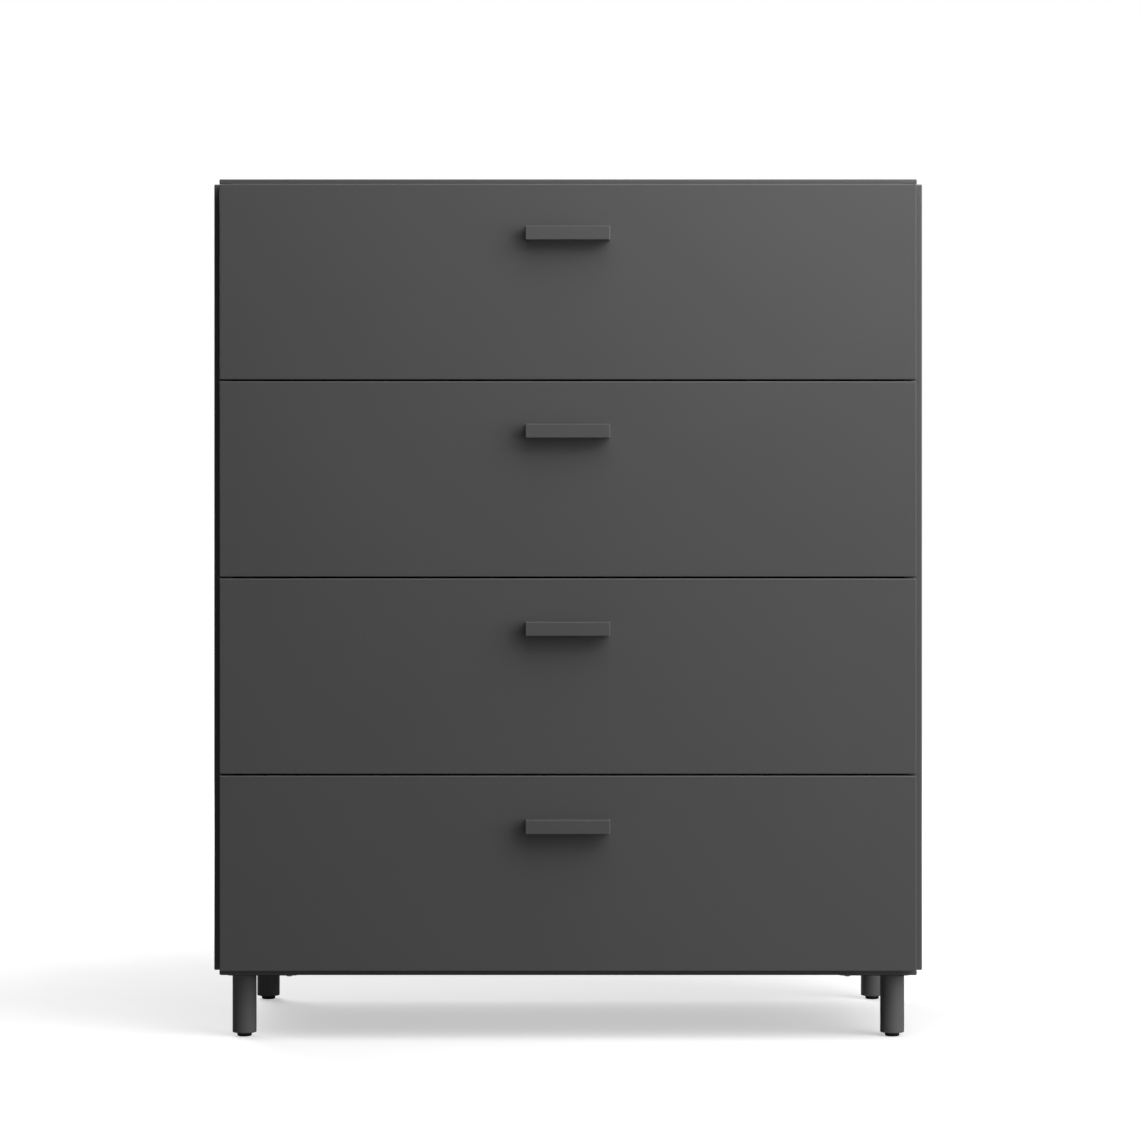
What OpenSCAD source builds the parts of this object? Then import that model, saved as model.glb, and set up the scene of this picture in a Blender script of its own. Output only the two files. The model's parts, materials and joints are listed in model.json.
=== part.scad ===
// Low steel cabinet with four full-width drawers on round legs.
// Millimetres. +Z is up, the drawers open towards -Y, and left is -X, as seen from the front.
// The origin is on the floor, below the middle of the whole object.

/* [Carcass] */
// Width across the side panels
cabinet_w = 820; // [700:5:1000]
// Height of the carcass, without its legs
carcass_h = 922; // [760:1:1120]
// Depth of the carcass, from its front edge to the screw heads on its back
carcass_d = 391; // [320:1:520]
// Thickness of the hollow side, top and bottom panels
panel_t = 20; // [16:1:26]
// Size of the step along each long outer corner
corner_step = 6; // [4:0.5:8]
// Sheet thickness of the outer panels and the drawer fronts
skin_t = 1.2; // [0.8:0.1:1.6]
// Sheet thickness of the side liners
side_liner_t = 1; // [0.8:0.1:1.5]
// Sheet thickness of the back panel
back_t = 1; // [0.6:0.1:1.5]
// Distance from the carcass outline to the edge of the back panel
back_margin = 8; // [7:0.5:12]
// Distance from the edge of the back panel to its screws
back_screw_edge = 6; // [5:0.5:7]
// Number of screws along each upright edge of the back panel
back_screws_side = 4; // [2:1:6]
// Number of screws along the top and the bottom edge of the back panel
back_screws_end = 3; // [2:1:5]
// Distance between the two wall fixing holes
wall_hole_spacing = 600; // [300:10:640]
// Distance from the top of the carcass down to the wall fixing holes
wall_hole_drop = 45; // [35:1:80]
// Diameter of the wall fixing holes
wall_hole_dia = 6; // [4:0.5:8]

/* [Legs] */
// Height of the carcass above the floor
leg_h = 75; // [50:1:150]
// Diameter of the leg tube
leg_dia = 28; // [22:1:34]
// Wall of the leg tube
leg_wall = 2; // [1.5:0.5:3]
// Distance from the side of the carcass to the leg's axis
leg_inset_x = 32; // [28:1:60]
// Distance from the front or back of the carcass to the leg's axis
leg_inset_y = 35; // [28:1:80]
// Side of the square screw plate on top of the leg
plate_w = 82; // [70:1:110]
// Thickness of the screw plate
plate_t = 2.5; // [2:0.5:4]
// Distance from the leg's axis to the two outer edges of the plate
plate_reach = 19; // [18:0.5:24]
// Distance from the plate's edges to its screws
plate_screw_edge = 10; // [8:0.5:14]
// Height of the threaded insert in the bottom of the leg
insert_h = 12; // [8:1:16]
// Diameter of the levelling foot
foot_dia = 17; // [14:0.5:22]
// Height of the levelling foot below the leg
foot_h = 4.5; // [3:0.5:10]
// Diameter of the levelling foot's stud
stud_dia = 8; // [6:1:10]
// Length of the stud above the foot
stud_len = 28; // [20:1:36]
// Radial clearance of the stud in the insert
stud_clear = 0.05; // [0.02:0.01:0.1]

/* [Drawers] */
// Number of drawers
drawer_count = 4; // [2:1:4]
// Gap between two fronts, one above the other
front_gap = 2; // [1.5:0.1:4]
// Carcass edge left showing at each side of the fronts
front_margin_x = 8; // [7:0.5:12]
// Carcass edge left showing above the top front and below the bottom one
front_margin_z = 7; // [4:0.5:10]
// Thickness of the hollow drawer front
front_t = 18; // [14:1:25]
// Gap between the closed front and the carcass edge
front_clear = 1; // [0.5:0.1:3]
// Sheet thickness of the front liner
front_liner_t = 1; // [0.8:0.1:1.5]
// Side clearance between the front liner and the side liners
front_liner_clear_x = 6; // [3:0.5:10]
// Clearance between the front liner and the levels of the top and bottom panels
front_liner_clear_z = 3; // [2:0.5:6]
// How far the front liner laps the front's folded rim
liner_lap = 6; // [4:0.5:10]
// Sheet thickness of the drawer box
box_t = 1; // [0.8:0.1:1.5]
// Clearance below the drawer box
box_clear_bottom = 9; // [5:0.5:15]
// Clearance above the drawer box
box_clear_top = 10.5; // [5:0.5:40]
// Width of the folded rim around the top of the drawer box
box_rim = 8; // [5:0.5:14]
// Width of the two flanges that hold the box to its front
box_flange = 14; // [12:0.5:20]
// Distance from the box's floor and rim to the screws in those flanges
flange_screw_end = 30; // [15:1:50]

/* [Handles] */
// Length of the handle
handle_w = 97; // [85:1:200]
// Height of the handle
handle_h = 16; // [12:0.5:24]
// How far the handle stands out from the front
handle_d = 22; // [18:0.5:35]
// Distance from the front's top edge to the middle of the handle
handle_drop = 57.5; // [40:0.5:90]
// Thickness of the handle's top, back and finger lip
handle_wall = 5; // [4:0.5:6]
// Length of the handle's solid ends
handle_end = 4; // [3:0.5:8]
// Distance between the handle's screws
handle_screw_spacing = 64; // [32:1:64]
// Metal left in front of the handle's screws
handle_screw_cover = 0.5; // [0.3:0.1:2]

/* [Slides] */
// Steps in which the slides are made longer
slide_step = 50; // [25:25:50]
// Distance from the carcass front edge to the slides
slide_setback = 4; // [3:0.5:10]
// Least room between the slides and the back of the carcass
slide_back_room = 20; // [10:1:40]
// Space that a slide takes between the side liner and the drawer box
slide_w = 12.7; // [12.5:0.1:14]
// Height of the outer slide member
slide_h = 45.5; // [45:0.5:53]
// Sheet thickness of the slide members
slide_t = 1.2; // [1:0.1:1.4]
// Diameter of the balls that run between two members
ball_dia = 4.3; // [4:0.1:5]
// Gap between the screw heads in the outer member and the middle member
slide_head_gap = 0.6; // [0.4:0.1:1]
// Gap between the middle member's edges and the drawer box
slide_edge_gap = 1.5; // [1:0.1:2]
// Gap between the inner member's edges and the middle member
inner_gap = 1.4; // [0.6:0.1:1.6]
// How far the outer member's edges stop short of the middle member's
outer_short = 0.8; // [0.4:0.1:2]
// How far the middle member stops short of the others at each end
middle_short = 2; // [1:0.5:5]
// Height of the middle of the slides above the bottom of the box
slide_up = 40; // [30:1:80]
// Distance from each end of a slide to its first screw
slide_screw_end = 35; // [20:1:50]
// How far the drawer box runs on behind the slides
box_behind = 2; // [0:0.5:10]

/* [Screws] */
// Diameter of all screws
screw_dia = 3.5; // [3:0.1:3.5]
// Diameter of the screw heads
head_dia = 7; // [6:0.5:8]
// Height of the screw heads
head_h = 2; // [1.6:0.1:2]
// Radial clearance of a screw in a plain hole
hole_clear = 0.2; // [0.1:0.05:0.4]
// Radial clearance of a screw in a threaded hole
thread_clear = 0.05; // [0.02:0.01:0.08]
// Length of the screws that only hold sheets together
short_screw = 8; // [6:1:12]
// Length of the screws in the drawer side, kept out of the folders' way
stub_screw = 4; // [3:0.5:5]

/* [Hidden] */
cut = 1;             // how far a cutting shape runs past the face that it cuts
slide_screws = 3;    // screws along each slide member
SIDES = ["left", "right"];
ENDS = ["front", "rear"];
drawers = [1 : drawer_count];

// Across
half_w = cabinet_w / 2;
inner_half = half_w - panel_t;              // to the face of the side liner
step_half = half_w - corner_step;           // to the edge of the top and bottom panels
front_half = half_w - front_margin_x;
box_half = inner_half - slide_w;
front_liner_half = inner_half - front_liner_clear_x;
leg_x = half_w - leg_inset_x;

// Front to back
total_d = handle_d + front_t + front_clear + carcass_d;
y_back = total_d / 2;
y_carcass = y_back - carcass_d;
y_rim = y_carcass - front_clear;            // back of the drawer front
y_face = y_rim - front_t;                   // face of the drawer front
y_box = y_rim + front_liner_t;
y_sheet = y_back - head_h;                  // outside of the back panel
y_end = y_sheet - back_t;                   // back edge of the side, top and bottom panels
y_slide = y_carcass + slide_setback;
slide_len = slide_step * floor((y_end - y_slide - slide_back_room) / slide_step);
box_d = y_slide + slide_len + box_behind - y_box;

// Up
z_base = leg_h;
z_top = leg_h + carcass_h;
z_room = panel_t - front_margin_z;          // how far a front covers the top or bottom panel
front_pitch = (carcass_h - 2 * front_margin_z + front_gap) / drawer_count;
front_h = front_pitch - front_gap;
liner_margin_z = z_room + front_liner_clear_z;
box_h = front_h - 2 * z_room - box_clear_bottom - box_clear_top;

// Slide members, from the side liner inwards
middle_x = slide_t + head_h + slide_head_gap;
middle_reach = slide_w - slide_edge_gap;
outer_reach = middle_reach - outer_short;
inner_depth = slide_w - middle_x - slide_t - inner_gap;
middle_h = slide_h - 2 * slide_t - 2 * ball_dia;
inner_h = middle_h - 2 * slide_t - 2 * ball_dia;
lip = ball_dia / 3;

screw_r = screw_dia / 2;
hole_r = screw_r + hole_clear;
$fn = 48;

function front_z(n) = z_top - front_margin_z - front_h - (n - 1) * front_pitch;
function handle_z(n) = front_z(n) + front_h - handle_drop;
function box_z(n) = front_z(n) + z_room + box_clear_bottom;
function slide_z(n) = box_z(n) + slide_up;
function spread(from, to, count) = [for (i = [0 : count - 1]) from + i * (to - from) / (count - 1)];

// Places that screws and their holes share
slide_ys = spread(y_slide + slide_screw_end, y_slide + slide_len - slide_screw_end, slide_screws);
back_x = half_w - back_margin - back_screw_edge;
back_low = z_base + back_margin + back_screw_edge;
back_high = z_top - back_margin - back_screw_edge;
back_screw_points = concat(
    [for (z = spread(back_low, back_high, back_screws_side + 2), s = [-1, 1])
        if (z > back_low && z < back_high) [s * back_x, z]],
    [for (x = spread(-inner_half, inner_half, back_screws_end + 2), z = [back_low, back_high])
        if (abs(x) < inner_half) [x, z]]
);
// Seen from the leg's axis, towards the middle of the cabinet. The screw nearest the cabinet's side
// stays clear of the bottom panel's inner wall.
wall_limit = leg_x - inner_half + skin_t + screw_r + thread_clear;
plate_near = plate_screw_edge - plate_reach;
plate_far = plate_w - plate_reach - plate_screw_edge;
plate_screw_points = [
    [plate_far, plate_near],
    [max(plate_near, wall_limit), plate_far],
    [plate_far, plate_far]
];
handle_screw_xs = [-handle_screw_spacing / 2, handle_screw_spacing / 2];
function flange_screw_points(n) = [
    for (x = [-1, 1] * (box_half - box_flange / 2),
        z = [box_z(n) + flange_screw_end, box_z(n) + box_h - flange_screw_end]) [x, z]
];

// A block between two corners
module block(from, to) {
    translate(from) cube(to - from);
}

// A shape drawn on the right is also wanted on the left
module on_side(s) {
    mirror([s == "left" ? 1 : 0, 0, 0]) children();
}

// Rods along each axis, from a point, of a length that may be negative
module rod_y(x, y, z, r, l) {
    translate([x, l > 0 ? y : y + l, z]) rotate([-90, 0, 0]) cylinder(r = r, h = abs(l));
}
module rod_x(x, y, z, r, l) {
    translate([l > 0 ? x : x + l, y, z]) rotate([0, 90, 0]) cylinder(r = r, h = abs(l));
}

// Screws: the head stands on the point, and the shank runs the other way for its length
module screw_y(x, y, z, l) {
    rod_y(x, y, z, head_dia / 2, -sign(l) * head_h);
    rod_y(x, y, z, screw_r, l);
}
module screw_x(x, y, z, l) {
    rod_x(x, y, z, head_dia / 2, -sign(l) * head_h);
    rod_x(x, y, z, screw_r, l);
}
module screw_up(x, y, z, l) {
    translate([x, y, z - head_h]) cylinder(r = head_dia / 2, h = head_h);
    translate([x, y, z]) cylinder(r = screw_r, h = l);
}

// Folded outer skin of a side, open towards the inside of the cabinet
module side_panel(s) {
    color("dimgray") on_side(s) difference() {
        block([inner_half + side_liner_t, y_carcass, z_base + corner_step],
            [half_w, y_end, z_top - corner_step]);
        block([inner_half + side_liner_t - cut, y_carcass + skin_t, z_base + corner_step + skin_t],
            [half_w - skin_t, y_end - skin_t, z_top - corner_step - skin_t]);
        for (p = back_screw_points)
            if (p[0] > inner_half) rod_y(p[0], y_end - skin_t - cut, p[1], hole_r, skin_t + 2 * cut);
    }
}

// Inner skin of a side, which carries the slides
module side_liner(s) {
    color("gray") on_side(s) difference() {
        block([inner_half, y_carcass, z_base + corner_step],
            [inner_half + side_liner_t, y_end, z_top - corner_step]);
        for (n = drawers, y = slide_ys)
            rod_x(inner_half - cut, y, slide_z(n), hole_r, side_liner_t + 2 * cut);
    }
}

// Outline of the top panel, stepped down at each end to sit on and between the sides
module cap_outline(inset) {
    block([-step_half + inset, y_carcass + inset, z_top - corner_step + inset],
        [step_half - inset, y_end - inset, z_top - inset]);
    block([-inner_half + inset, y_carcass + inset, z_top - panel_t + inset],
        [inner_half - inset, y_end - inset, z_top - inset]);
}

// Hollow welded slab, with the holes of the back panel's screws along its rear edge
module cap_panel() {
    difference() {
        cap_outline(0);
        cap_outline(skin_t);
        for (p = back_screw_points)
            if (p[1] == back_high && abs(p[0]) < inner_half)
                rod_y(p[0], y_end - skin_t - cut, p[1], hole_r, skin_t + 2 * cut);
    }
}

module top_panel() {
    color("dimgray") cap_panel();
}

// The top panel's shape turned over, drilled for the leg plates
module bottom_panel() {
    color("dimgray") difference() {
        translate([0, 0, z_base + z_top]) mirror([0, 0, 1]) cap_panel();
        for (e = ENDS, s = SIDES, p = plate_screw_points) at_leg(e, s)
            translate([-p[0], p[1], z_base - cut]) cylinder(r = hole_r, h = skin_t + 2 * cut);
    }
}

module back_panel() {
    color("dimgray") difference() {
        block([back_margin - half_w, y_end, z_base + back_margin],
            [half_w - back_margin, y_sheet, z_top - back_margin]);
        for (p = back_screw_points) rod_y(p[0], y_end - cut, p[1], hole_r, back_t + 2 * cut);
        for (s = [-1, 1])
            rod_y(s * wall_hole_spacing / 2, y_end - cut, z_top - wall_hole_drop, wall_hole_dia / 2,
                back_t + 2 * cut);
    }
}

// Moves a shape drawn for the front right leg, around its axis, to any leg
module at_leg(e, s) {
    on_side(s)
        translate([leg_x, e == "front" ? y_carcass + leg_inset_y : y_back - leg_inset_y, 0])
            mirror([0, e == "front" ? 0 : 1, 0]) children();
}

// Leg tube with a threaded insert in its foot end and a screw plate welded to its top
module leg(e, s) {
    color("dimgray") at_leg(e, s) difference() {
        union() {
            translate([0, 0, foot_h]) cylinder(d = leg_dia, h = z_base - plate_t - foot_h);
            block([plate_reach - plate_w, -plate_reach, z_base - plate_t],
                [plate_reach, plate_w - plate_reach, z_base]);
        }
        translate([0, 0, foot_h + insert_h])
            cylinder(d = leg_dia - 2 * leg_wall, h = z_base - plate_t - foot_h - insert_h);
        translate([0, 0, foot_h - cut]) cylinder(r = stud_dia / 2 + stud_clear, h = insert_h + 2 * cut);
        for (p = plate_screw_points)
            translate([-p[0], p[1], z_base - plate_t - cut]) cylinder(r = hole_r, h = plate_t + 2 * cut);
    }
}

// Levelling foot with its stud
module foot(e, s) {
    color("black") at_leg(e, s) {
        cylinder(d = foot_dia, h = foot_h);
        cylinder(d = stud_dia, h = foot_h + stud_len);
    }
}

// Screws of the slides, the back panel and the leg plates
module cabinet_screws() {
    color("silver") {
        for (s = SIDES, n = drawers, y = slide_ys) on_side(s)
            screw_x(inner_half - slide_t, y, slide_z(n), short_screw);
        for (p = back_screw_points) screw_y(p[0], y_sheet, p[1], -short_screw);
        for (e = ENDS, s = SIDES, p = plate_screw_points) at_leg(e, s)
            screw_up(-p[0], p[1], z_base - plate_t, short_screw);
    }
}

// Folded skin of a drawer front, with a rim turned in all round its back
module drawer_front(n) {
    z0 = front_z(n);
    z1 = z0 + front_h;
    rim_x = front_liner_half - liner_lap;
    rim_z = liner_margin_z + liner_lap;
    color("dimgray") difference() {
        block([-front_half, y_face, z0], [front_half, y_rim, z1]);
        block([skin_t - front_half, y_face + skin_t, z0 + skin_t],
            [front_half - skin_t, y_rim - skin_t, z1 - skin_t]);
        block([-rim_x, y_rim - skin_t - cut, z0 + rim_z], [rim_x, y_rim + cut, z1 - rim_z]);
        for (x = handle_screw_xs) rod_y(x, y_face - cut, handle_z(n), hole_r, skin_t + 2 * cut);
    }
}

// Inner skin of a drawer front
module drawer_liner(n) {
    color("gray") difference() {
        block([-front_liner_half, y_rim, front_z(n) + liner_margin_z],
            [front_liner_half, y_box, front_z(n) + front_h - liner_margin_z]);
        for (x = handle_screw_xs) rod_y(x, y_rim - cut, handle_z(n), hole_r, front_liner_t + 2 * cut);
        for (p = flange_screw_points(n)) rod_y(p[0], y_rim - cut, p[1], hole_r, front_liner_t + 2 * cut);
    }
}

// Folded tray with a rim along its sides and back, and flanges that hold it to the front
module drawer_box(n) {
    z0 = box_z(n);
    z1 = z0 + box_h;
    y1 = y_box + box_d;
    color("gray") difference() {
        block([-box_half, y_box, z0], [box_half, y1, z1]);
        block([box_t - box_half, y_box + box_t, z0 + box_t], [box_half - box_t, y1 - box_t, z1 - box_t]);
        block([box_rim - box_half, y_box - cut, z1 - box_t - cut],
            [box_half - box_rim, y1 - box_rim, z1 + cut]);
        block([box_flange - box_half, y_box - cut, z0 + box_t],
            [box_half - box_flange, y_box + box_t + cut, z1 + cut]);
        for (p = flange_screw_points(n)) rod_y(p[0], y_box - cut, p[1], hole_r, box_t + 2 * cut);
        for (s = SIDES, y = slide_ys) on_side(s)
            rod_x(box_half - box_t - cut, y, slide_z(n), hole_r, box_t + 2 * cut);
    }
}

// Block handle with a finger groove in its underside
module drawer_handle(n) {
    z0 = handle_z(n) - handle_h / 2;
    color("dimgray") difference() {
        block([-handle_w / 2, y_face - handle_d, z0], [handle_w / 2, y_face, z0 + handle_h]);
        block([handle_end - handle_w / 2, y_face - handle_d + handle_wall, z0 - cut],
            [handle_w / 2 - handle_end, y_face - handle_wall, z0 + handle_h - handle_wall]);
        for (x = handle_screw_xs)
            rod_y(x, y_face + cut, handle_z(n), screw_r + thread_clear,
                handle_screw_cover - handle_wall - cut);
    }
}

// Screws of the handle, the front and the inner slide members
module drawer_screws(n) {
    color("silver") {
        for (x = handle_screw_xs)
            screw_y(x, y_box, handle_z(n), y_face - handle_wall + 2 * handle_screw_cover - y_box);
        for (p = flange_screw_points(n)) screw_y(p[0], y_box + box_t, p[1], -short_screw);
        for (s = SIDES, y = slide_ys) on_side(s)
            screw_x(box_half + slide_t, y, slide_z(n), -stub_screw);
    }
}

// A sheet channel along Y on the right: its web runs from web_x to the far side of the sheet,
// and its two flanges reach to edge_x
module channel(n, web_x, edge_x, h, short) {
    y0 = y_slide + short;
    y1 = y_slide + slide_len - short;
    t = edge_x < web_x ? -slide_t : slide_t;
    translate([0, 0, slide_z(n)]) difference() {
        block([min(web_x, edge_x), y0, -h / 2], [max(web_x, edge_x), y1, h / 2]);
        block([min(web_x + t, edge_x + sign(t) * cut), y0 - cut, slide_t - h / 2],
            [max(web_x + t, edge_x + sign(t) * cut), y1 + cut, h / 2 - slide_t]);
    }
}

// Outer slide member, with lips that keep the balls in
module slide_outer(n, s) {
    edge = inner_half - outer_reach;
    z = slide_z(n);
    y1 = y_slide + slide_len;
    track = slide_h / 2 - slide_t;
    color("silver") on_side(s) difference() {
        block([edge, y_slide, z - slide_h / 2], [inner_half, y1, z + slide_h / 2]);
        block([edge + slide_t, y_slide - cut, z - track],
            [inner_half - slide_t, y1 + cut, z + track]);
        block([edge - cut, y_slide - cut, z - track + lip],
            [edge + slide_t + cut, y1 + cut, z + track - lip]);
        for (y = slide_ys) rod_x(inner_half + cut, y, z, hole_r, -slide_t - 2 * cut);
    }
}

module slide_middle(n, s) {
    color("silver") on_side(s)
        channel(n, inner_half - middle_x, inner_half - middle_reach, middle_h, middle_short);
}

// Inner slide member, screwed to the drawer box
module slide_inner(n, s) {
    color("silver") on_side(s) difference() {
        channel(n, box_half, box_half + inner_depth, inner_h, 0);
        for (y = slide_ys) rod_x(box_half - cut, y, slide_z(n), hole_r, slide_t + 2 * cut);
    }
}

for (s = SIDES) {
    side_panel(s);
    side_liner(s);
}
top_panel();
bottom_panel();
back_panel();
cabinet_screws();
for (e = ENDS, s = SIDES) {
    leg(e, s);
    foot(e, s);
}
for (n = drawers) {
    drawer_front(n);
    drawer_liner(n);
    drawer_box(n);
    drawer_handle(n);
    drawer_screws(n);
}
for (n = drawers, s = SIDES) {
    slide_outer(n, s);
    slide_middle(n, s);
    slide_inner(n, s);
}
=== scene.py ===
import json
import math

import bmesh
import bpy
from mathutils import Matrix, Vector

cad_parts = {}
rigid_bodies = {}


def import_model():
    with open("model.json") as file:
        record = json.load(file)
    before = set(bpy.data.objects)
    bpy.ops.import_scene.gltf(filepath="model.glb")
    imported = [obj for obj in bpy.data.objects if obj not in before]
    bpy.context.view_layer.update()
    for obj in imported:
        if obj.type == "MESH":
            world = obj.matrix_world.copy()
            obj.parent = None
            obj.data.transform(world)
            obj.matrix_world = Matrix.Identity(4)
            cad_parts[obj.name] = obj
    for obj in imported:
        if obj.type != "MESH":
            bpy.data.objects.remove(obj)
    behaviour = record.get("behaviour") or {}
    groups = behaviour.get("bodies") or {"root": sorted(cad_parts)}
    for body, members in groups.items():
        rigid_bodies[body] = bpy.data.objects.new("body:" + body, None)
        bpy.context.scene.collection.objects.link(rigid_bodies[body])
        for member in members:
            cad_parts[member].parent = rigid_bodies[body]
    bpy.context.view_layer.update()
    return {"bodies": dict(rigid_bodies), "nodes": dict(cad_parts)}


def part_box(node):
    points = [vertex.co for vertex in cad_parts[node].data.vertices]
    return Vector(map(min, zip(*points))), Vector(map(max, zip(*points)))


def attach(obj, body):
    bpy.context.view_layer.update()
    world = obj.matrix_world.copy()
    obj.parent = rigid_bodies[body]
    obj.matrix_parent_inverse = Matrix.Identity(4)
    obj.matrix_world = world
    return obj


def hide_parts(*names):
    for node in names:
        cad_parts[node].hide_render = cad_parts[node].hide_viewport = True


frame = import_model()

MM = 0.001
DRAWERS = sorted(int(body.split("_")[1]) for body in frame["bodies"] if body.startswith("drawer_"))
CORNERS = [f"{end}_{side}" for end in ("front", "rear") for side in ("left", "right")]

# Telling faces, edges and places apart
ALONG = 0.9              # a face is square to an axis when its normal reaches this along it
SHARP = 1.0              # an edge is sharp when its faces turn by more than this, in radians
SAME = 0.02 * MM         # places nearer than this are the same
A_HAIR = 0.1 * MM        # clearly above or in front of a place
SOFT_BEND = 35           # bends between faces that turn by less than this are smooth, in degrees

# Sheet metal
SKIN = 1.2 * MM          # outer panels, fronts and slide members
BOX_SHEET = 1.0 * MM     # drawer boxes
FRONT_BEND = 1.3 * MM    # outside radius of the bends round a drawer front
PANEL_BEND = 1.4 * MM    # and round the side, top and bottom panels
BOX_BEND = 2.0 * MM
SLIDE_BEND = 1.0 * MM
BEND_STEPS = 4
SMALL_STEPS = 3          # for the bends of small pieces
RING = 0.4 * MM          # narrow ring of faces between a bend and the flat face beside it
BROAD = 3 * MM           # a face with no side shorter than this counts as flat and broad

# Drawers
FRONT_RIM = 22 * MM      # sheet turned in at the back of a front
BOX_RIM = 8 * MM         # sheet turned in round the top of a drawer box
BOX_FLANGE = 14 * MM     # and beside its open front
HANDLE_WALL = 5 * MM     # between the finger groove and the handle's front, back and top
HANDLE_END = 4 * MM      # and its ends
HANDLE_EDGE = 0.7 * MM

# Legs and feet
LEG_RADIUS = 14 * MM
LEG_WALL = 6 * MM        # and the threaded insert in it, seen from below
LEG_ROUND = 0.9 * MM
INSERT_SUNK = 0.6 * MM
WELD = 2.5 * MM          # height of the weld fillet under the plate
WELD_FLARE = 1.14        # how much wider than the tube it ends
PLATE = 2.5 * MM
PLATE_CORNER = 5 * MM
PLATE_EDGE = 0.35 * MM
FOOT_TAPER = 0.9         # underside of a foot, as a share of its width
FOOT_BEVEL = 1.4 * MM    # height that it narrows over
FOOT_EDGE = 0.4 * MM
STUD_RADIUS = 4 * MM
TUBE_SIDES = 72
FOOT_SIDES = 48

# Rubber bumpers behind the fronts
BUMPER_RADIUS = 3.2 * MM
BUMPER_EDGE = 0.35 * MM
BUMPER_FILL = 0.92       # share of the gap that one takes up
BUMPER_IN = 5.5 * MM     # from a front's side edge
BUMPER_DOWN = 18 * MM    # from its top or bottom edge
BUMPER_SIDES = 24

# Slides
SLIDE_LIP = 1.4 * MM     # turned over at the rims of the outer member
BALL = 4.2 * MM
BALL_STEP = 13 * MM      # from one ball to the next
CAGE_WIDTH = 4 * MM
CAGE_SHEET = 0.8 * MM
CAGE_CORNER = 1.5 * MM
CAGE_START = 8 * MM      # behind the slide's front end
CAGE_LENGTH = 142 * MM
CAGE_SETBACK = 0.6 * MM  # the narrow cages sit this much towards the side of the cabinet

# Screws
HEAD_RADIUS = 3.5 * MM
HEAD_HEIGHT = 2.0 * MM
HEAD_ROUND = 0.55        # of its height
SHANK_RADIUS = 1.75 * MM
RECESS_WIDTH = 0.8 * MM
RECESS_FLOOR = 0.45      # of the head's height
RECESS_TAPER = (0.5, 0.6)  # length and width at its floor, as shares of those at its top
HEAD_SIDES = 28
SHANK_SIDES = 14
TURN_STEP = 0.7          # radians from one screw's recess to the next


# ---------------------------------------------------------------- bench tools

def deselect():
    bpy.ops.object.select_all(action="DESELECT")


def take(piece):
    """Makes a piece the only one selected."""
    deselect()
    piece.select_set(True)
    bpy.context.view_layer.objects.active = piece


def named(name):
    """Gives the newest piece its name, and moves its place into its mesh."""
    piece = bpy.context.object
    piece.name = piece.data.name = name
    bpy.ops.object.transform_apply(location=True, rotation=True, scale=True)
    return piece


def block(name, low, high):
    deselect()
    bpy.ops.mesh.primitive_cube_add(size=1, location=(Vector(low) + Vector(high)) / 2)
    bpy.context.object.scale = Vector(high) - Vector(low)
    return named(name)


def rod(name, base, radius, length, sides):
    """An upright cylinder standing on a point."""
    deselect()
    middle = Vector(base) + Vector((0, 0, length / 2))
    bpy.ops.mesh.primitive_cylinder_add(vertices=sides, radius=radius, depth=length, location=middle)
    return named(name)


class editing:
    """Edit mode on one piece, with nothing selected at first."""

    def __init__(self, piece):
        self.piece = piece

    def __enter__(self):
        take(self.piece)
        bpy.ops.object.mode_set(mode="EDIT")
        bpy.ops.mesh.select_all(action="DESELECT")

    def __exit__(self, *trouble):
        bpy.ops.object.mode_set(mode="OBJECT")


def choose_faces(piece, wanted):
    """Selects the faces that wanted(face) is true of."""
    bpy.ops.mesh.select_mode(type="FACE")
    bpy.ops.mesh.select_all(action="DESELECT")
    mesh = bmesh.from_edit_mesh(piece.data)
    for face in mesh.faces:
        face.select_set(bool(wanted(face)))
    bmesh.update_edit_mesh(piece.data)


def pick_faces(piece, wanted):
    """Selects the faces that wanted(centre, normal) is true of."""
    choose_faces(piece, lambda face: wanted(face.calc_center_median(), face.normal))


def pick_edges(piece, wanted):
    """Selects the edges that wanted(one end, other end, edge) is true of."""
    bpy.ops.mesh.select_mode(type="EDGE")
    bpy.ops.mesh.select_all(action="DESELECT")
    mesh = bmesh.from_edit_mesh(piece.data)
    for edge in mesh.edges:
        a, b = (v.co for v in edge.verts)
        edge.select_set(bool(wanted(a, b, edge)))
    bmesh.update_edit_mesh(piece.data)


def close(a, b):
    return abs(a - b) < SAME


def sharp(edge):
    return len(edge.link_faces) == 2 and edge.calc_face_angle(0) > SHARP


def cut_across(at, normal):
    """Cuts the piece in edit mode along a plane, and keeps both halves."""
    bpy.ops.mesh.select_all(action="SELECT")
    bpy.ops.mesh.bisect(plane_co=at, plane_no=normal)


def pull(x=0.0, y=0.0, z=0.0):
    """Extrudes the selected faces or edges."""
    bpy.ops.mesh.extrude_region_move(TRANSFORM_OT_translate={"value": (x, y, z)})


def widen(x, y, centre):
    """Scales the selected faces across, about a point."""
    bpy.ops.transform.resize(value=(x, y, 1), center_override=centre)


def round_edges(radius, steps=BEND_STEPS):
    bpy.ops.mesh.bevel(offset=radius, segments=steps, profile=0.5, affect="EDGES", clamp_overlap=True)


def apply_modifier(piece, kind, **settings):
    take(piece)
    modifier = piece.modifiers.new(kind, kind)
    for name, value in settings.items():
        setattr(modifier, name, value)
    bpy.ops.object.modifier_apply(modifier=modifier.name)


def thicken(piece, sheet):
    """Gives a folded surface its sheet thickness, on the inside."""
    apply_modifier(piece, "SOLIDIFY", thickness=sheet, offset=-1, use_even_offset=True)


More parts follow.
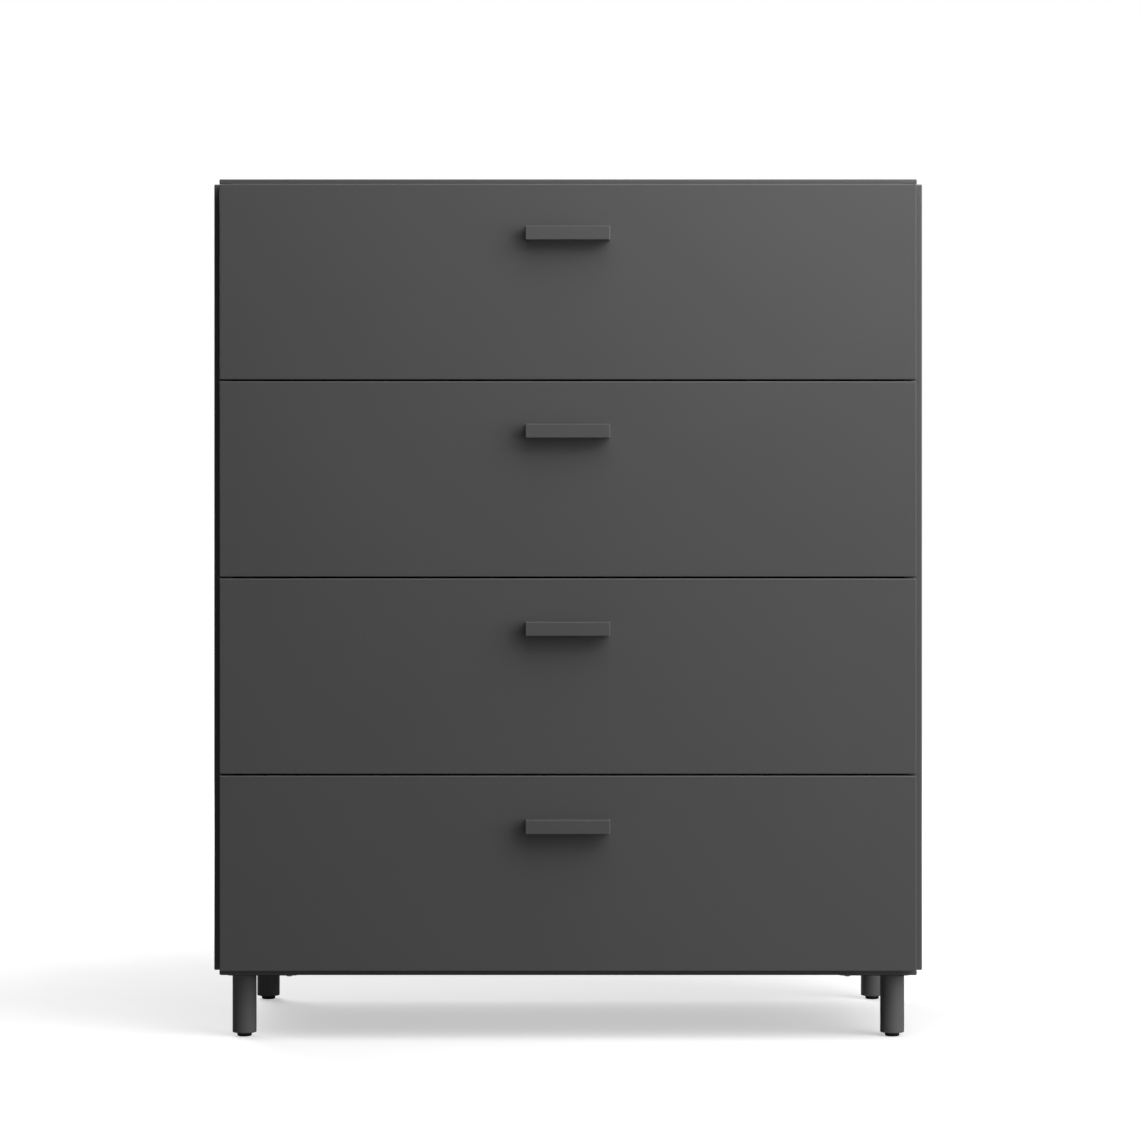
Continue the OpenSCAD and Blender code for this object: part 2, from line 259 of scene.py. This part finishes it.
def hold_flats(piece):
    """Two narrow rings round each broad face, so that the paler edges, wear and painted highlight, don't
    tint the whole face.
    """
    with editing(piece):
        for ring in range(2):
            choose_faces(piece, lambda face: min(edge.calc_length() for edge in face.edges) > BROAD)
            bpy.ops.mesh.inset(thickness=RING, use_individual=True)


def smooth(piece):
    """Soft bends beside flat faces that stay flat."""
    take(piece)
    bpy.ops.object.shade_smooth_by_angle(angle=math.radians(SOFT_BEND))
    apply_modifier(piece, "WEIGHTED_NORMAL", keep_sharp=True, weight=80)


def join(pieces, name):
    deselect()
    for piece in pieces:
        piece.select_set(True)
    bpy.context.view_layer.objects.active = pieces[0]
    bpy.ops.object.join()
    return named(name)


def copy_of(piece, name):
    twin = piece.copy()
    twin.data = piece.data.copy()
    twin.name = twin.data.name = name
    bpy.context.collection.objects.link(twin)
    return twin


def placed(piece, name, by, half_turn=False):
    """A copy of a piece, moved in its mesh. A half turn, about its own upright axis, comes first."""
    twin = copy_of(piece, name)
    take(twin)
    twin.location = by
    if half_turn:
        xs = [v.co.x for v in piece.data.vertices]
        ys = [v.co.y for v in piece.data.vertices]
        twin.rotation_euler.z = math.pi
        twin.location += Vector((min(xs) + max(xs), min(ys) + max(ys), 0))
    bpy.ops.object.transform_apply(location=True, rotation=True, scale=False)
    return twin


def discard(*pieces):
    """Clears away the pieces that copies were taken from."""
    for piece in pieces:
        bpy.data.objects.remove(piece)


def paint(piece, finish):
    piece.data.materials.clear()
    piece.data.materials.append(finish)
    return piece


def between_nodes(first, node):
    """The way from one node to another of the same shape."""
    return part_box(node)[0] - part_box(first)[0]


def settle(piece, body, slot, *nodes):
    """A piece's last step: the body that it rides on, its slot, which is not used, and the nodes that it
    stands for.
    """
    smooth(piece)
    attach(piece, body)
    if nodes:
        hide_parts(*nodes)


# ---------------------------------------------------------------- finishes

class Finish:
    """A finish being mixed: a shader with its uniform values set, and patterns that follow the piece."""

    def __init__(self, name, **uniform):
        self.material = bpy.data.materials.new(name)
        self.material.use_nodes = True
        self.tree = self.material.node_tree
        self.shader = self.tree.nodes["Principled BSDF"]
        for socket, value in uniform.items():
            self.shader.inputs[socket.replace("_", " ")].default_value = value
        self.place = self.tree.nodes.new("ShaderNodeTexCoord").outputs["Object"]

    def feed(self, value, socket):
        """Links a value to a socket, or sets it there if it is a plain number."""
        if isinstance(value, bpy.types.NodeSocket):
            self.tree.links.new(value, socket)
        else:
            socket.default_value = value

    def noise(self, size, detail=2.0, stretch=(1, 1, 1)):
        """Cloudy noise with lumps of about this size, in metres, and longer along a stretched axis."""
        mapping = self.tree.nodes.new("ShaderNodeMapping")
        self.feed(self.place, mapping.inputs["Vector"])
        mapping.inputs["Scale"].default_value = [1 / s for s in stretch]
        texture = self.tree.nodes.new("ShaderNodeTexNoise")
        self.feed(mapping.outputs["Vector"], texture.inputs["Vector"])
        texture.inputs["Scale"].default_value = 1 / size
        texture.inputs["Detail"].default_value = detail
        return texture.outputs["Fac"]

    def between(self, value, low, high, start=0.3, end=0.7):
        """Turns a value from start to end into one from low to high."""
        spread = self.tree.nodes.new("ShaderNodeMapRange")
        spread.inputs["From Min"].default_value = start
        spread.inputs["From Max"].default_value = end
        spread.inputs["To Min"].default_value = low
        spread.inputs["To Max"].default_value = high
        self.feed(value, spread.inputs["Value"])
        return spread.outputs["Result"]

    def combine(self, operation, a, b):
        combined = self.tree.nodes.new("ShaderNodeMath")
        combined.operation = operation
        self.feed(a, combined.inputs[0])
        self.feed(b, combined.inputs[1])
        return combined.outputs["Value"]

    def tint(self, share, dark, light):
        """A colour between two, by a share from 0 to 1."""
        mix = self.tree.nodes.new("ShaderNodeMix")
        mix.data_type = "RGBA"
        self.feed(share, mix.inputs["Factor"])
        self.feed(dark, mix.inputs[6])
        self.feed(light, mix.inputs[7])
        return mix.outputs[2]

    def rubbed_and_highlit(self):
        """From 0 on flat faces to 1 where the piece turns a sharp corner."""
        shape = self.tree.nodes.new("ShaderNodeNewGeometry")
        return self.between(shape.outputs["Pointiness"], 0, 1, start=0.52, end=0.60)

    def relief(self, height, depth, strength=1.0):
        bump = self.tree.nodes.new("ShaderNodeBump")
        bump.inputs["Strength"].default_value = strength
        bump.inputs["Distance"].default_value = depth
        self.feed(height, bump.inputs["Height"])
        self.feed(bump.outputs["Normal"], self.shader.inputs["Normal"])

    def done(self, colour, roughness):
        self.feed(colour, self.shader.inputs["Base Color"])
        self.feed(roughness, self.shader.inputs["Roughness"])
        return self.material


def grey(value, warmth=0.0):
    return (value * (1 + warmth), value, value * (1 - warmth), 1)


def powder_coat(name, dark, light, satin, worn_and_highlit=None, grain=0.05 * MM):
    """Satin powder coat: faint clouds and speckle in the colour, orange peel in the surface, and edges
    that are paler on the pieces that hands and shoes touch, partly as wear and partly as painted highlight."""
    coat = Finish(name, Specular_IOR_Level=0.5)
    clouds = coat.between(coat.noise(size=350 * MM, detail=3), 0, 0.5)
    speckle = coat.between(coat.noise(size=0.9 * MM, detail=1), 0, 0.5)
    colour = coat.tint(coat.combine("ADD", clouds, speckle), grey(dark), grey(light))
    # Paler edges: partly wear, partly a painted highlight along the bends
    if worn_and_highlit:
        colour = coat.tint(coat.rubbed_and_highlit(), colour, grey(worn_and_highlit))
    broad_peel = coat.noise(size=3.2 * MM, detail=2)
    fine_peel = coat.between(coat.noise(size=0.9 * MM, detail=1), 0, 0.35)
    coat.relief(coat.combine("ADD", broad_peel, fine_peel), depth=grain, strength=0.5)
    patches = coat.noise(size=50 * MM, detail=4)
    return coat.done(colour, coat.between(patches, satin - 0.015, satin + 0.015))


def zinc_plate(name, dark, light, lines, shine):
    """Dull zinc plating: fine rolling lines along the piece, and faint blotches in the plating."""
    plate = Finish(name, Metallic=0.6)
    drawn = plate.noise(size=0.6 * MM, detail=3, stretch=lines)
    blotches = plate.noise(size=9 * MM, detail=3)
    share = plate.combine("ADD", plate.between(drawn, 0, 0.6), plate.between(blotches, 0, 0.4))
    plate.relief(drawn, depth=0.01 * MM, strength=0.3)
    colour = plate.tint(share, grey(dark, -0.02), grey(light, -0.01))
    return plate.done(colour, plate.between(share, shine - 0.05, shine + 0.08, start=0, end=1))


def moulded(name, dark, light, matt, grain):
    """Moulded plastic or rubber: a fine even grain, a little paler along its edges, where it wears."""
    plastic = Finish(name, Specular_IOR_Level=0.4)
    speck = plastic.noise(size=grain, detail=2)
    colour = plastic.tint(plastic.between(speck, 0, 1), grey(dark), grey(light))
    colour = plastic.tint(plastic.rubbed_and_highlit(), colour, grey(light * 2.5))
    plastic.relief(speck, depth=0.03 * MM, strength=0.4)
    patches = plastic.noise(size=4 * MM, detail=3)
    return plastic.done(colour, plastic.between(patches, matt - 0.06, matt + 0.06))


# Carcass, fronts and handles wear one coat; their slightly different greys are painted light and shade, set
# so each part's tone matches the light it gets
CARCASS = powder_coat("carcass_powder_coat", 0.107, 0.116, 0.46, worn_and_highlit=0.17)
BACK = powder_coat("back_powder_coat", 0.096, 0.105, 0.47)
FRONT = powder_coat("front_powder_coat", 0.099, 0.107, 0.45, worn_and_highlit=0.17)
HANDLE = powder_coat("handle_powder_coat", 0.101, 0.110, 0.44, worn_and_highlit=0.17)
# Legs paler than the body's same coat: painted light for the light that reaches them
LEG = powder_coat("leg_coat_painted_light", 0.140, 0.152, 0.42, worn_and_highlit=0.20)
# Near-black plate coat: painted shade for the shadow tucked under the carcass
PLATE_PAINTED_SHADE = powder_coat("plate_coat_painted_shade", 0.012, 0.016, 0.50)
TRAY = powder_coat("tray_powder_coat", 0.112, 0.127, 0.55, worn_and_highlit=0.17, grain=0.08 * MM)
INSIDE = powder_coat("inside_powder_coat", 0.112, 0.127, 0.55, grain=0.08 * MM)
SLIDE = zinc_plate("slide_zinc", 0.62, 0.74, lines=(1, 40, 1), shine=0.36)
SCREW = zinc_plate("screw_zinc", 0.66, 0.80, lines=(1, 1, 1), shine=0.28)
FOOT = moulded("foot_plastic", 0.010, 0.018, matt=0.52, grain=0.5 * MM)
RUBBER = moulded("bumper_rubber", 0.020, 0.035, matt=0.72, grain=0.3 * MM)
CAGE = moulded("ball_cage_plastic", 0.05, 0.07, matt=0.45, grain=0.4 * MM)


# ---------------------------------------------------------------- carcass

def side_panel(side):
    """Folded outer skin of a side, open towards its liner."""
    node = f"side_panel_{side}"
    low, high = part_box(node)
    out = math.copysign(1, low.x)
    panel = block(f"side_skin_{side}", low, high)
    with editing(panel):
        pick_faces(panel, lambda at, normal: normal.x * out < -ALONG)
        bpy.ops.mesh.delete(type="FACE")
        pick_edges(panel, lambda a, b, edge: sharp(edge))
        round_edges(PANEL_BEND)
    thicken(panel, SKIN)
    hold_flats(panel)
    settle(paint(panel, CARCASS), "cabinet", "carcass_paint", node)


def stepped_panel(node, name, up):
    """Welded slab that lies on the ends of the sides and steps down between them. up is 1 for the top."""
    low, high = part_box(node)
    between_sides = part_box("side_liner_right")[0].x
    side_low, side_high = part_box("side_panel_right")
    step = side_high.z if up > 0 else side_low.z
    overhang = high.x - between_sides
    panel = block(name, (-between_sides, low.y, low.z), (between_sides, high.y, high.z))
    with editing(panel):
        cut_across((0, 0, step), (0, 0, 1))
        for end in (-1, 1):
            pick_faces(panel, lambda at, normal: normal.x * end > ALONG and (at.z - step) * up > 0)
            pull(x=end * overhang)
        pick_edges(panel, lambda a, b, edge: sharp(edge) and edge.is_convex)
        round_edges(PANEL_BEND)
    hold_flats(panel)
    settle(paint(panel, CARCASS), "cabinet", "carcass_paint", node)


def leg_tube(corner):
    """Leg tube, open below round its threaded insert and flared by a weld at its plate."""
    low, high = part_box(f"leg_{corner}")
    foot_low, foot_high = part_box(f"foot_{corner}")
    axis = (foot_low + foot_high) / 2
    top = high.z - PLATE
    tube = rod("tube", (axis.x, axis.y, low.z), LEG_RADIUS, top - low.z, TUBE_SIDES)
    with editing(tube):
        cut_across((0, 0, top - WELD), (0, 0, 1))
        pick_faces(tube, lambda at, normal: normal.z > ALONG)
        widen(WELD_FLARE, WELD_FLARE, (axis.x, axis.y, top))
        pick_edges(tube, lambda a, b, edge: sharp(edge) and close(a.z, low.z) and close(b.z, low.z))
        round_edges(LEG_ROUND)
        pick_faces(tube, lambda at, normal: normal.z < -ALONG)
        bpy.ops.mesh.inset(thickness=LEG_WALL)
        pull(z=INSERT_SUNK)
    return paint(tube, LEG)


def leg_plate(corner):
    """Screw plate on the top of a leg, coated near-black as painted shade for the shadow under the carcass.
    """
    low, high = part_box(f"leg_{corner}")
    plate = block("plate", (low.x, low.y, high.z - PLATE), high)
    with editing(plate):
        pick_edges(plate, lambda a, b, edge: not close(a.z, b.z))
        round_edges(PLATE_CORNER, 2 * SMALL_STEPS)
        pick_edges(plate, lambda a, b, edge: sharp(edge))
        round_edges(PLATE_EDGE, SMALL_STEPS - 1)
    return paint(plate, PLATE_PAINTED_SHADE)


def levelling_foot(corner):
    """A disc that narrows to the floor, with the stud that it is screwed in by."""
    low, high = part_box(f"foot_{corner}")
    axis = (low + high) / 2
    radius = (high.x - low.x) / 2
    under_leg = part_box(f"leg_{corner}")[0].z
    disc = rod("disc", (axis.x, axis.y, low.z), radius, under_leg - low.z, FOOT_SIDES)
    with editing(disc):
        cut_across((0, 0, low.z + FOOT_BEVEL), (0, 0, 1))
        pick_faces(disc, lambda at, normal: normal.z < -ALONG)
        widen(FOOT_TAPER, FOOT_TAPER, (axis.x, axis.y, low.z))
        pick_faces(disc, lambda at, normal: normal.z > ALONG)
        bpy.ops.mesh.inset(thickness=radius - STUD_RADIUS)
        pull(z=high.z - under_leg)
        pick_edges(disc, lambda a, b, edge: sharp(edge) and max(a.z, b.z) < under_leg + A_HAIR)
        round_edges(FOOT_EDGE, SMALL_STEPS)
    return paint(disc, FOOT)


def legs_and_feet():
    """The same leg and foot at each corner, each with its plate towards the middle of the cabinet."""
    first = CORNERS[0]
    tube = leg_tube(first)
    plate = leg_plate(first)
    foot = levelling_foot(first)
    for corner in CORNERS:
        over = between_nodes(f"foot_{first}", f"foot_{corner}")
        plate_over = between_nodes(f"leg_{first}", f"leg_{corner}")
        parts = [placed(tube, "tube", over), placed(plate, "plate", plate_over)]
        settle(join(parts, f"leg_{corner}_welded"), "cabinet", "leg_paint", f"leg_{corner}")
        settle(placed(foot, f"levelling_foot_{corner}", over), "cabinet", "foot_plastic", f"foot_{corner}")
    discard(tube, plate, foot)


def bumpers():
    """Small rubber domes on the carcass edge, that the fronts close on."""
    carcass_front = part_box("side_panel_left")[0].y
    gap = carcass_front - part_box(f"drawer_{DRAWERS[0]}_front")[1].y
    dome = rod("dome", (0, 0, 0), BUMPER_RADIUS, BUMPER_FILL * gap, BUMPER_SIDES)
    with editing(dome):
        pick_edges(dome, lambda a, b, edge: sharp(edge) and min(a.z, b.z) > A_HAIR)
        round_edges(BUMPER_EDGE, SMALL_STEPS)
    dome.rotation_euler.x = math.radians(90)
    dome = paint(named("dome"), RUBBER)
    for n in DRAWERS:
        low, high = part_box(f"drawer_{n}_front")
        x = high.x - BUMPER_IN
        heights = (low.z + BUMPER_DOWN, high.z - BUMPER_DOWN)
        places = [(out * x, carcass_front, z) for out in (-1, 1) for z in heights]
        domes = [placed(dome, "dome", at) for at in places]
        settle(join(domes, f"bumpers_{n}"), "cabinet", "foot_plastic")
    discard(dome)


# ---------------------------------------------------------------- drawers

def drawer_front(node):
    """Folded front: rounded bends round its face and a rim turned in at the back."""
    low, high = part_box(node)

    def corner(v):
        return (close(v.x, low.x) or close(v.x, high.x)) and (close(v.z, low.z) or close(v.z, high.z))

    front = block("front", low, high)
    with editing(front):
        pick_faces(front, lambda at, normal: normal.y > ALONG)
        bpy.ops.mesh.inset(thickness=FRONT_RIM)
        bpy.ops.mesh.delete(type="FACE")
        pick_edges(front, lambda a, b, edge: corner(a) and corner(b))
        round_edges(FRONT_BEND)
    thicken(front, SKIN)
    hold_flats(front)
    return paint(front, FRONT)


def block_handle(node):
    """Block handle with softened edges and a finger groove in its underside."""
    low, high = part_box(node)
    groove_low = Vector((low.x + HANDLE_END, low.y + HANDLE_WALL, low.z))
    groove_high = Vector((high.x - HANDLE_END, high.y - HANDLE_WALL, high.z - HANDLE_WALL))
    bar = block("bar", low, high)
    with editing(bar):
        for at in (groove_low, groove_high):
            cut_across(at, (1, 0, 0))
            cut_across(at, (0, 1, 0))
        pick_faces(bar, lambda at, normal: normal.z < -ALONG
                   and groove_low.x < at.x < groove_high.x and groove_low.y < at.y < groove_high.y)
        pull(z=groove_high.z - low.z)
        pick_edges(bar, lambda a, b, edge: sharp(edge) and min(a.y, b.y) < high.y - A_HAIR)
        round_edges(HANDLE_EDGE, SMALL_STEPS)
    hold_flats(bar)
    return paint(bar, HANDLE)


def drawer_tray(node):
    """Folded tray: a floor, two sides and a back with a rim turned in, and flanges behind the front."""
    low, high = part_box(node)
    inside = high.x - BOX_FLANGE
    tray = block("tray", low, high)
    with editing(tray):
        pick_faces(tray, lambda at, normal: normal.z > ALONG)
        bpy.ops.mesh.inset(thickness=BOX_RIM)
        bpy.ops.mesh.delete(type="FACE")
        for x in (-inside, inside):
            cut_across((x, 0, 0), (1, 0, 0))
        pick_faces(tray, lambda at, normal: abs(at.x) < inside
                   and (normal.y < -ALONG or (normal.z > ALONG and at.y < low.y + BOX_RIM)))
        bpy.ops.mesh.delete(type="FACE")
        pick_edges(tray, lambda a, b, edge: sharp(edge))
        round_edges(BOX_BEND)
    thicken(tray, BOX_SHEET)
    hold_flats(tray)
    return paint(tray, TRAY)


def drawers():
    """One front, handle and tray, and a copy of each for every drawer."""
    start = f"drawer_{DRAWERS[0]}"
    front = drawer_front(f"{start}_front")
    bar = block_handle(f"{start}_handle")
    tray = drawer_tray(f"{start}_box")
    kinds = (
        (front, "front_shell", "front", "front_paint"),
        (bar, "handle_block", "handle", "handle_paint"),
        (tray, "box_tray", "box", "liner_paint"),
    )
    for n in DRAWERS:
        for pattern, name, ending, slot in kinds:
            node = f"drawer_{n}_{ending}"
            piece = placed(pattern, f"{name}_{n}", between_nodes(f"{start}_{ending}", node))
            settle(piece, f"drawer_{n}", slot, node)
    discard(front, bar, tray)


# ---------------------------------------------------------------- slides

def slide_channel(node, open_to, lip=0.0):
    """Rolled channel of a slide member. open_to is the X direction that it opens to."""
    low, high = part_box(node)
    member = block("member", low, high)
    with editing(member):
        pick_faces(member, lambda at, normal: abs(normal.y) > ALONG or normal.x * open_to > ALONG)
        bpy.ops.mesh.delete(type="FACE")
        pick_edges(member, lambda a, b, edge: sharp(edge))
        round_edges(SLIDE_BEND, SMALL_STEPS)
        if lip:
            rim_x = high.x if open_to > 0 else low.x
            for up, z in ((-1, high.z), (1, low.z)):
                pick_edges(member, lambda a, b, edge: edge.is_boundary and close(a.x, rim_x)
                           and close(b.x, rim_x) and close(a.z, z) and close(b.z, z))
                pull(z=up * (SKIN + lip))
    thicken(member, SKIN)
    return paint(member, SLIDE)


def ball_cage():
    """A strip along Y from the origin, that keeps a row of balls apart between two members."""
    half_width, half_sheet = CAGE_WIDTH / 2, CAGE_SHEET / 2
    strip = block("strip", (-half_width, 0, -half_sheet), (half_width, CAGE_LENGTH, half_sheet))
    with editing(strip):
        pick_edges(strip, lambda a, b, edge: close(a.x, b.x) and close(a.y, b.y))
        round_edges(CAGE_CORNER, SMALL_STEPS)
    deselect()
    bpy.ops.mesh.primitive_ico_sphere_add(subdivisions=2, radius=BALL / 2, location=(0, BALL_STEP / 2, 0))
    ball = paint(named("ball"), SCREW)
    balls = [placed(ball, "ball", (0, i * BALL_STEP, 0)) for i in range(int(CAGE_LENGTH / BALL_STEP))]
    discard(ball)
    return join([paint(strip, CAGE), *balls], "cage")


def slides():
    """Three members on each side of each drawer, with two ball cages between each pair of them."""
    start = f"slide_{DRAWERS[0]}_left"
    track = slide_channel(f"{start}_outer", 1, SLIDE_LIP)
    carrier = slide_channel(f"{start}_middle", 1)
    runner = slide_channel(f"{start}_inner", -1)
    cage = ball_cage()
    for n in DRAWERS:
        for side, into in (("left", 1), ("right", -1)):
            members = (
                (track, "track", "outer", "cabinet"),
                (carrier, "carrier", "middle", f"slide_{n}"),
                (runner, "runner", "inner", f"drawer_{n}"),
            )
            for pattern, name, ending, body in members:
                node = f"slide_{n}_{side}_{ending}"
                over = between_nodes(f"{start}_{ending}", node)
                piece = placed(pattern, f"slide_{name}_{n}_{side}", over, half_turn=into < 0)
                settle(piece, body, "slide_steel", node)
            outer, middle, inner = (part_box(f"slide_{n}_{side}_{member[2]}") for member in members)
            y = outer[0].y + CAGE_START
            for up, which in ((1, "top"), (0, "bottom")):
                wall = SKIN if up else -SKIN
                wide = ((middle[0].x + middle[1].x) / 2, y, (outer[up].z - wall + middle[up].z) / 2)
                narrow = ((inner[0].x + inner[1].x) / 2 - into * CAGE_SETBACK, y,
                          (middle[up].z - wall + inner[up].z) / 2)
                settle(placed(cage, f"cage_wide_{n}_{side}_{which}", wide), "cabinet", "slide_steel")
                settle(placed(cage, f"cage_narrow_{n}_{side}_{which}", narrow), f"slide_{n}", "slide_steel")
    discard(track, carrier, runner, cage)


# ---------------------------------------------------------------- screws

def screw_head():
    """Pan head with a cross recess, standing on the origin."""
    head = rod("screw_head", (0, 0, 0), HEAD_RADIUS, HEAD_HEIGHT, HEAD_SIDES)
    with editing(head):
        pick_edges(head, lambda a, b, edge: min(a.z, b.z) > HEAD_HEIGHT / 2)
        round_edges(HEAD_HEIGHT * HEAD_ROUND, SMALL_STEPS)
    floor = HEAD_HEIGHT * RECESS_FLOOR
    long, wide = HEAD_RADIUS / 2, RECESS_WIDTH / 2
    for turned in (0, 90):
        cutter = block("recess", (-long, -wide, floor), (long, wide, HEAD_HEIGHT * 1.5))
        with editing(cutter):
            pick_faces(cutter, lambda at, normal: normal.z < -ALONG)
            widen(*RECESS_TAPER, (0, 0, floor))
        cutter.rotation_euler.z = math.radians(turned)
        take(cutter)
        bpy.ops.object.transform_apply(location=False, rotation=True, scale=False)
        apply_modifier(head, "BOOLEAN", operation="DIFFERENCE", object=cutter, solver="EXACT")
        discard(cutter)
    return paint(head, SCREW)


def screw_places(node):
    """Where a node's screws are: for each, its head's seat, the axis and direction that the head faces,
    and the shank's length."""
    group = copy_of(frame["nodes"][node], "screw_places")
    group.hide_render = False
    take(group)
    bpy.ops.object.mode_set(mode="EDIT")
    bpy.ops.mesh.select_all(action="SELECT")
    bpy.ops.mesh.remove_doubles(threshold=SAME / 2)
    bpy.ops.mesh.separate(type="LOOSE")
    bpy.ops.object.mode_set(mode="OBJECT")
    found = list(bpy.context.selected_objects)
    places = []
    for screw in found:
        points = [v.co.copy() for v in screw.data.vertices]
        low = Vector(map(min, *points))
        high = Vector(map(max, *points))
        size = high - low
        axis = min(range(3), key=lambda k: abs(size[(k + 1) % 3] - size[(k + 2) % 3]))
        middle = (low + high) / 2

        def off(point):
            """Square of a point's distance from the screw's axis."""
            return (point - middle).length_squared - (point[axis] - middle[axis]) ** 2

        # The head is the part that reaches as far out as anything on the screw
        wide = max(off(p) for p in points)
        head = [p[axis] for p in points if off(p) > 0.9 * wide]
        up = 1 if max(head) > high[axis] - SAME / 2 else -1
        seat = middle.copy()
        seat[axis] = min(head) if up > 0 else max(head)
        far_end = low if up > 0 else high
        places.append((seat, axis, up, abs(far_end[axis] - seat[axis])))
    discard(*found)
    return places


# How a screw that stands upright is turned to face each way: (axis, direction) to X, Y and Z degrees
FACING = {
    (0, 1): (0, 90, 0),
    (0, -1): (0, -90, 0),
    (1, 1): (-90, 0, 0),
    (1, -1): (90, 0, 0),
    (2, 1): (0, 0, 0),
    (2, -1): (180, 0, 0),
}


def screws(head, shank, node, name, body):
    """Detailed screws wherever the frame has plain ones."""
    parts = []
    for number, (seat, axis, up, length) in enumerate(screw_places(node)):
        screw_parts = [copy_of(head, "head"), copy_of(shank, "shank")]
        screw_parts[0].rotation_euler.z = number * TURN_STEP
        screw_parts[1].scale.z = length
        for part in screw_parts:
            take(part)
            bpy.ops.object.transform_apply(location=False, rotation=True, scale=True)
            part.rotation_euler = [math.radians(degrees) for degrees in FACING[axis, up]]
            part.location = seat
            bpy.ops.object.transform_apply(location=True, rotation=True, scale=False)
        parts += screw_parts
    settle(join(parts, name), body, "zinc_screw", node)


# ---------------------------------------------------------------- making it all

for side in ("left", "right"):
    side_panel(side)
stepped_panel("top_panel", "top_slab", 1)
stepped_panel("bottom_panel", "bottom_slab", -1)
legs_and_feet()
bumpers()
drawers()
slides()

head = screw_head()
shank = paint(rod("shank", (0, 0, -1), SHANK_RADIUS, 1, SHANK_SIDES), SCREW)
screws(head, shank, "cabinet_screws", "screws_cabinet", "cabinet")
for n in DRAWERS:
    screws(head, shank, f"drawer_{n}_screws", f"screws_drawer_{n}", f"drawer_{n}")
discard(head, shank)

# The back and the liners are flat sheets, so the frame's own nodes stay, with their finish
kept = {"back_panel": BACK, "side_liner_left": INSIDE, "side_liner_right": INSIDE}
kept.update({f"drawer_{n}_liner": INSIDE for n in DRAWERS})
for node, finish in kept.items():
    for place in frame["nodes"][node].material_slots:
        place.material = finish


# ---------------------------------------------------------------- studio

FLOOR_WIDTH = 80
FLOOR_SEEN = 0.90        # grey of the floor as it shows
FLOOR_BOUNCE = 0.24      # and as it throws light back on the cabinet
FADE = (0.7, 2.4)        # from the cabinet's middle, where the floor starts and ends its fade to white
AIM_HEIGHT = 0.55        # height on the fronts that the soft boxes are aimed at


def studio_floor():
    """Plain pale floor, which fades to white away from the cabinet through a painted glow that only the
    camera sees.
    """
    deselect()
    bpy.ops.mesh.primitive_plane_add(size=FLOOR_WIDTH, location=(0, 0, 0))
    floor = named("studio_floor")
    paper = Finish("pale_floor", Specular_IOR_Level=0.2)
    away = paper.tree.nodes.new("ShaderNodeVectorMath")
    away.operation = "LENGTH"
    paper.feed(paper.place, away.inputs[0])
    seen = paper.tree.nodes.new("ShaderNodeLightPath").outputs["Is Camera Ray"]
    tone = paper.tint(seen, grey(FLOOR_BOUNCE), grey(FLOOR_SEEN))
    glow = paper.between(away.outputs["Value"], 0.50, 1.0, *FADE)
    paper.shader.inputs["Emission Color"].default_value = (1, 1, 1, 1)
    paper.feed(paper.combine("MULTIPLY", glow, seen), paper.shader.inputs["Emission Strength"])
    patches = paper.noise(size=100 * MM, detail=2)
    floor.data.materials.append(paper.done(tone, paper.between(patches, 0.75, 0.85)))


def soft_light(name, at, size, power, glossy=True):
    """A square soft box aimed at the middle of the fronts. glossy says if it shows in reflections."""
    fronts = Vector((0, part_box(f"drawer_{DRAWERS[0]}_front")[0].y, AIM_HEIGHT))
    deselect()
    bpy.ops.object.light_add(type="AREA", location=at)
    light = bpy.context.object
    light.name = name
    light.rotation_mode = "QUATERNION"
    light.rotation_quaternion = (fronts - Vector(at)).to_track_quat("-Z", "Y")
    light.data.shape = "SQUARE"
    light.data.size = size
    light.data.energy = power
    light.visible_camera = False
    light.visible_glossy = glossy


def studio_world(backdrop, reflected, fill):
    """White surroundings, which show fainter in reflections and give the cabinet hardly any light."""
    world = bpy.data.worlds.new("studio")
    bpy.context.scene.world = world
    world.use_nodes = True
    tree = world.node_tree
    path = tree.nodes.new("ShaderNodeLightPath")
    shown = tree.nodes["Background"]
    shown.inputs["Color"].default_value = (1, 1, 1, 1)
    shown.inputs["Strength"].default_value = fill
    for ray, strength in (("Is Glossy Ray", reflected), ("Is Camera Ray", backdrop)):
        layer = tree.nodes.new("ShaderNodeBackground")
        layer.inputs["Color"].default_value = (1, 1, 1, 1)
        layer.inputs["Strength"].default_value = strength
        mix = tree.nodes.new("ShaderNodeMixShader")
        tree.links.new(path.outputs[ray], mix.inputs["Fac"])
        tree.links.new(shown.outputs[0], mix.inputs[1])
        tree.links.new(layer.outputs[0], mix.inputs[2])
        shown = mix
    tree.links.new(shown.outputs[0], tree.nodes["World Output"].inputs["Surface"])


studio_floor()
studio_world(backdrop=1.0, reflected=0.13, fill=0.01)
soft_light("side_soft_box", at=(2.3, -1.8, 1.38), size=2.7, power=71, glossy=False)
soft_light("top_soft_box", at=(0.55, -0.87, 1.87), size=1.7, power=19)
soft_light("back_soft_box", at=(-1.5, 2.5, 1.9), size=2.2, power=60)

# The camera looks level at the fronts, a little right of their middle
deselect()
bpy.ops.object.camera_add(location=(0.0335, -4.540, 0.637), rotation=(math.radians(90), 0, 0))
camera = bpy.context.object
camera.name = "front_camera"
camera.data.lens = 118.8
camera.data.sensor_width = 36
camera.data.shift_x = -0.0228
camera.data.shift_y = -0.0709
bpy.context.scene.camera = camera

bpy.context.scene.view_settings.view_transform = "Standard"
